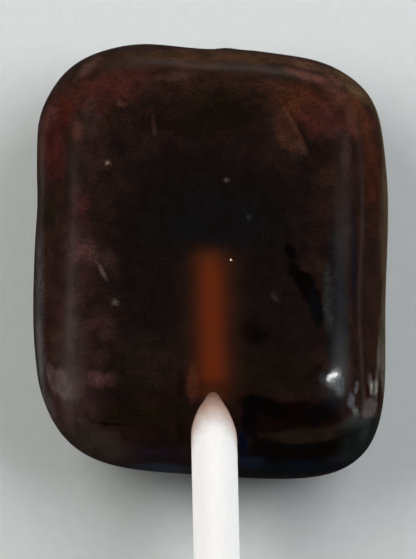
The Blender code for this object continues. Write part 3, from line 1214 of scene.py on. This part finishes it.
@dataclass
class PaperStick:
    """The round stick of rolled paper, with the loose edge of the roll along it.

    The climb is how the sugar wets its flanks: how high at most, the share of the way
    up, how far it reaches sideways, where it is full across the stick in shares of the
    radius, where it begins along the stick, and how soon it begins above the rim.
    """

    radius: float = 2.0 * MM
    length: float = 88.99 * MM
    lean: float = math.radians(1.2)
    inner_x: float = -0.07 * MM
    inner_y: float = -0.45 * MM
    height: float = 8.05 * MM
    edge_round: float = 0.22 * MM
    seam_step: float = 0.05 * MM
    seam_angle: float = math.radians(205.0)
    seam_ease: float = 0.9
    roll_pitch: float = 0.22 * MM
    roll_depth: float = 0.05 * MM
    roll_from: float = 0.3
    climb: float = 0.47 * MM
    climb_share: float = 0.85
    climb_reach: float = 1.0 * MM
    climb_flanks: tuple[float, float] = (0.45, 0.85)
    climb_from: tuple[float, float] = (1.0 * MM, -2.0 * MM)
    climb_base: float = 0.8 * MM
    sides: int = 96
    length_rings: int = 60
    edge_rings: int = 5
    end_rings: int = 26
    end_smallest: float = 0.04

    def aside(self, x: np.ndarray, y: np.ndarray) -> np.ndarray:
        """Return how far points lie to the right of the stick's line, seen from above."""
        return ((x - self.inner_x) * math.cos(self.lean)
                + (y - self.inner_y) * math.sin(self.lean))

    def surface(self) -> np.ndarray:
        """Stack the stick's rings, from the middle of one end to that of the other.

        Round the stick the radius grows by the seam step over one turn and drops back
        at the seam. A quarter circle rounds each end's edge. On the ends, the paper's
        turns are a spiral groove: a sawtooth of the distance from the middle over the
        pitch, less the share of a turn.

        Returns:
            An array of rings by sides by 3.
        """
        turn = np.linspace(0.0, 2.0 * np.pi, self.sides, endpoint=False)
        share = ((turn - self.seam_angle) / (2.0 * np.pi)) % 1.0
        wall = self.radius - self.seam_step * (1.0 - smooth_step(0.0, self.seam_ease, share))
        arc = np.linspace(0.0, 0.5 * np.pi, self.edge_rings)
        corner = self.edge_round * (1.0 - np.cos(arc))
        inset = self.edge_round * (1.0 - np.sin(arc))
        body = np.linspace(self.edge_round, self.length - self.edge_round, self.length_rings)[1:-1]
        along = np.concatenate([corner, body, self.length - corner[::-1]])
        shrink = np.concatenate([inset, np.zeros(len(body)), inset[::-1]])
        out = np.linspace(self.end_smallest, 1.0, self.end_rings)[:-1]
        end_size = np.outer(out, wall - self.edge_round)
        sawtooth = (end_size / self.roll_pitch - share) % 1.0
        fade = smooth_step(0.0, self.roll_from, out)[:, None]
        groove = self.roll_depth * (1.0 - np.abs(2.0 * sawtooth - 1.0)) * fade
        size = np.concatenate([end_size, wall - shrink[:, None], end_size[::-1]])
        depth = np.concatenate([groove, np.repeat(along[:, None], self.sides, axis=1),
                                self.length - groove[::-1]])
        return self.to_frame(size * np.cos(turn), depth, size * np.sin(turn))

    def to_frame(self, across: np.ndarray, along: np.ndarray, up: np.ndarray) -> np.ndarray:
        """Turn and move points from the stick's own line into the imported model's frame.

        Args:
            across: how far each point is to the right of the line.
            along: how far it is from the stick's inner end.
            up: how far it is above the line.

        Returns:
            The points, with X, Y and Z last.
        """
        x = self.inner_x + across * math.cos(self.lean) + along * math.sin(self.lean)
        y = self.inner_y + across * math.sin(self.lean) - along * math.cos(self.lean)
        return np.stack([x, y, self.height + up], axis=-1)

    def build(self) -> bpy.types.Object:
        """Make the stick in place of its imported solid.

        Returns:
            The stick's object.
        """
        piece = closed_tube("paper_stick", self.surface())
        piece.visible_glossy = False
        return ride_as(piece, RolledPaper().build(), "stick")


@dataclass
class Bubbles:
    """A few tiny bubbles at the front surface, placed in the photograph's pixels."""

    columns_rows_sizes: tuple[tuple[float, float, float], ...] = (
        (107, 163, 0.20), (226, 180, 0.13), (216, 158, 0.12), (115, 302, 0.13), (231, 260, 0.24),
    )
    rings: int = 9
    sides: int = 16
    sunk: float = 0.80

    def build(self, head: SugarHead) -> bpy.types.Object:
        """Make each bubble as a small ball, mostly sunk in the panel.

        Each point of a ball is the sine of its polar angle round, and the cosine up.

        Args:
            head: the sugar that holds them.

        Returns:
            The bubbles, joined in one object.
        """
        polar = np.linspace(0.0, np.pi, self.rings + 2)[1:-1]
        turn = np.linspace(0.0, 2.0 * np.pi, self.sides, endpoint=False)
        ball = np.stack([np.outer(np.sin(polar), np.cos(turn)),
                         np.outer(np.sin(polar), np.sin(turn)),
                         -np.outer(np.cos(polar), np.ones(self.sides))], axis=-1)
        poles = np.array([(0.0, 0.0, -1.0), (0.0, 0.0, 1.0)])
        unit = np.concatenate([ball.reshape(-1, 3), poles])
        quads, fans = ring_faces(self.rings, self.sides)
        columns, rows, sizes = np.array(self.columns_rows_sizes).T
        top = head.thickness - head.unevenness
        radius = sizes * MM
        middles = PHOTO.on_object(columns, rows, top)
        middles[:, 2] -= radius * self.sunk
        points = middles[:, None, :] + unit[None, :, :] * radius[:, None, None]
        step = (np.arange(len(sizes)) * len(unit))[:, None, None]
        piece = mesh_object("bubbles", points.reshape(-1, 3), (quads[None] + step).reshape(-1, 4),
                            (fans[None] + step).reshape(-1, 3))
        return ride_as(piece, PaintedBubbleGlint().build())


# ---------------------------------------------------------------- the studio

class LampShape(Enum):
    """The outlines that a soft light can have."""

    BOX = "RECTANGLE"
    OVAL = "ELLIPSE"


@dataclass
class Softbox:
    """One soft flat light that looks at the sweet, placed by angles in degrees."""

    name: str
    azimuth: float
    elevation: float
    distance: float
    width: float
    height: float
    radiance: float
    colour: Colour = (1.0, 1.0, 1.0)
    shape: LampShape = LampShape.BOX
    roll: float = 0.0
    mirrored: bool = True
    lights_matt: bool = True

    def build(self) -> bpy.types.Object:
        """Make the light, turned to the middle of the head's back.

        Returns:
            The light's object.
        """
        light = bpy.data.lights.new(self.name, "AREA")
        light.shape = self.shape.value
        light.size = self.width
        light.size_y = self.height
        light.energy = self.radiance * math.pi * self.width * self.height
        light.color = self.colour
        lamp = bpy.data.objects.new(self.name, light)
        bpy.context.scene.collection.objects.link(lamp)
        azimuth, elevation = math.radians(self.azimuth), math.radians(self.elevation)
        aim = Euler((0.5 * math.pi - elevation, 0.0, azimuth + 0.5 * math.pi)).to_matrix().to_4x4()
        roll = Matrix.Rotation(math.radians(self.roll), 4, "Z")
        lamp.matrix_world = aim @ Matrix.Translation((0.0, 0.0, self.distance)) @ roll
        lamp.visible_glossy = self.mirrored
        lamp.visible_diffuse = self.lights_matt
        return lamp


@dataclass(frozen=True)
class Glow:
    """A soft bright region of the room, round a direction of length one or so."""

    direction: Axes
    spread: Axes
    radiance: Colour

    def share(self, axes: tuple[Value, Value, Value]) -> Value:
        """Work out the glow's share: the product of a bell curve along each axis.

        Args:
            axes: the direction's X, Y and Z.

        Returns:
            The share, 1 in the glow's own direction.
        """
        curves = [axis.bump(middle, width)
                  for axis, middle, width in zip(axes, self.direction, self.spread)]
        return curves[0] * curves[1] * curves[2]


@dataclass
class Studio:
    """The pale floor, the soft lights and the dim room above.

    The floor's rings are evenly spaced out to floor_even, and two more lie further out.
    The first three softboxes light the sweet without being mirrored in it. The three
    lamps are mirrored and light nothing matt.
    """

    floor_drop: float = 0.05 * MM
    floor_inner: float = 0.02
    floor_even: float = 2.0
    floor_rings: int = 67
    floor_outer: tuple[float, float] = (3.0, 6.0)
    floor_sides: int = 48
    floor_colour: Colour = (0.563, 0.587, 0.582)
    floor_mottle: float = 0.97
    floor_lump: float = 1.2 * MM
    floor_roughness: float = 0.6
    far_colour: Colour = (0.47, 0.49, 0.485)
    far_from: tuple[float, float] = (0.10, 0.50)
    rise_from: tuple[float, float] = (0.9, 1.65)
    rise: float = 0.05
    room: Colour = (0.030, 0.029, 0.029)
    # The sheens of the right shoulder, the left side, and the top and right rim, then the
    # narrow glints low on the right rim and the faint line low on the left one.
    glows: tuple[Glow, ...] = (
        Glow((0.76, 0.0, 0.58), (0.27, 0.24, 0.28), (0.76, 0.86, 0.90)),
        Glow((-0.92, 0.12, 0.32), (0.30, 0.20, 0.18), (0.58, 0.54, 0.54)),
        Glow((-0.96, -0.20, 0.18), (0.30, 0.16, 0.22), (0.80, 0.75, 0.70)),
        Glow((0.10, 0.99, -0.08), (0.34, 0.30, 0.16), (0.36, 0.34, 0.31)),
        Glow((1.00, 0.10, -0.03), (0.50, 0.30, 0.05), (0.34, 0.29, 0.28)),
        Glow((0.87, 0.165, -0.46), (0.30, 0.038, 0.06), (1.6, 1.45, 1.3)),
        Glow((0.96, 0.136, -0.22), (0.30, 0.026, 0.055), (2.8, 2.65, 2.5)),
        Glow((-0.77, 0.16, -0.62), (0.30, 0.10, 0.12), (0.4, 0.38, 0.37)),
    )
    softboxes: tuple[Softbox, ...] = (
        Softbox("top_light", 90.0, 18.0, 0.40, 0.40, 0.10, 1.5, mirrored=False),
        Softbox("left_fill", 158.0, 37.0, 0.40, 0.46, 0.25, 5.0, (1.0, 0.985, 0.97),
                mirrored=False),
        Softbox("right_fill", 25.0, 37.0, 0.40, 0.46, 0.25, 5.0, (0.98, 0.99, 1.0),
                mirrored=False),
        Softbox("lamp_core", -2.0, 48.2, 0.80, 0.036, 0.26, 18.0, (0.99, 1.0, 0.99),
                LampShape.OVAL, 10.0, lights_matt=False),
        Softbox("lamp_halo", -1.5, 45.5, 0.80, 0.085, 0.33, 2.2, (0.95, 1.0, 1.0),
                LampShape.OVAL, 10.0, lights_matt=False),
        Softbox("lamp_tail", -9.5, 38.0, 0.80, 0.20, 0.11, 0.65, (0.97, 1.0, 1.0),
                LampShape.OVAL, 60.0, lights_matt=False),
    )

    def build_floor(self) -> bpy.types.Object:
        """Make the floor, just under the sweet's flat back.

        The surface is rings of points round the origin. It is flat under the sweet and
        its lights, and rises by a smooth step far out, as a studio's paper sheet does.

        Returns:
            The floor's object.
        """
        near = np.linspace(self.floor_inner, self.floor_even, self.floor_rings)
        radius = np.concatenate([near, self.floor_outer])
        turn = np.linspace(0.0, 2.0 * np.pi, self.floor_sides, endpoint=False)
        height = self.rise * smooth_step(*self.rise_from, radius) - self.floor_drop
        rings = np.stack([np.outer(radius, np.cos(turn)), np.outer(radius, np.sin(turn)),
                          np.outer(height, np.ones(len(turn)))], axis=-1)
        quads, fans = ring_faces(len(radius), len(turn))
        points = np.concatenate([rings.reshape(-1, 3), [(0.0, 0.0, -self.floor_drop)]])
        floor = mesh_object("table", points, quads[:, ::-1], fans[:len(turn), ::-1])
        floor.data.materials.append(self.floor_finish())
        floor.visible_glossy = False
        return floor

    def floor_finish(self) -> bpy.types.Material:
        """Make the floor's plain pale finish.

        Far out the lights are weak, and a faint light of its own keeps it as pale.

        Returns:
            The material.
        """
        recipe = MaterialRecipe("pale_table")
        x, y, _ = recipe.axes()
        far = ((x * x + y * y) ** 0.5).above(*self.far_from)
        mottle = recipe.noise(self.floor_lump, 5.0).above(*NOISE_RANGE)
        darker = tuple(self.floor_mottle * part for part in self.floor_colour)
        recipe.set(Base_Color=recipe.blend(mottle, darker, self.floor_colour),
                   Roughness=self.floor_roughness,
                   Emission_Color=recipe.blend(far, (0.0, 0.0, 0.0), self.far_colour),
                   Emission_Strength=1.0)
        return recipe.material

    def build_room(self) -> None:
        """Give the world a dim room with a few soft bright regions."""
        world = bpy.data.worlds.new("room")
        world.use_nodes = True
        bpy.context.scene.world = world
        recipe = Recipe(world.node_tree, "Generated")
        axes = recipe.axes()
        colour = self.room
        for glow in self.glows:
            colour = recipe.blend(glow.share(axes), colour, glow.radiance)
        recipe.feed(world.node_tree.nodes["Background"].inputs[0], colour)

    def build_camera(self, photo: PhotoFrame) -> bpy.types.Object:
        """Make the camera that shows the photograph's frame.

        Args:
            photo: the photograph's scale, middle and tilt.

        Returns:
            The camera's object.
        """
        span = photo.height * photo.step()
        data = bpy.data.cameras.new("photo_camera")
        data.sensor_width = 36.0
        data.sensor_fit = "AUTO"
        data.lens = data.sensor_width * photo.distance / span
        data.clip_start = 0.01
        camera = bpy.data.objects.new("photo_camera", data)
        camera.location = photo.camera_place()
        camera.rotation_euler = (photo.tilt, 0.0, 0.0)
        bpy.context.scene.collection.objects.link(camera)
        bpy.context.scene.camera = camera
        return camera

    def build(self, photo: PhotoFrame) -> None:
        """Make the floor, the room, the lights and the camera.

        Args:
            photo: the photograph's scale, middle and tilt.
        """
        self.build_floor()
        self.build_room()
        for softbox in self.softboxes:
            softbox.build()
        self.build_camera(photo)
        settings = bpy.context.scene.view_settings
        settings.view_transform = "Standard"
        settings.look = "None"


def main() -> None:
    """Build the lollipop and its studio, and report each piece."""
    logging.basicConfig(level=logging.INFO, format="%(name)s: %(message)s")
    Studio().build(PHOTO)
    head, stick = SugarHead(), PaperStick()
    pieces = [head.build(stick), stick.build(), Bubbles().build(head)]
    for piece in pieces:
        LOG.info("%s has %d faces", piece.name, len(piece.data.polygons))


if __name__ == "__main__":
    main()
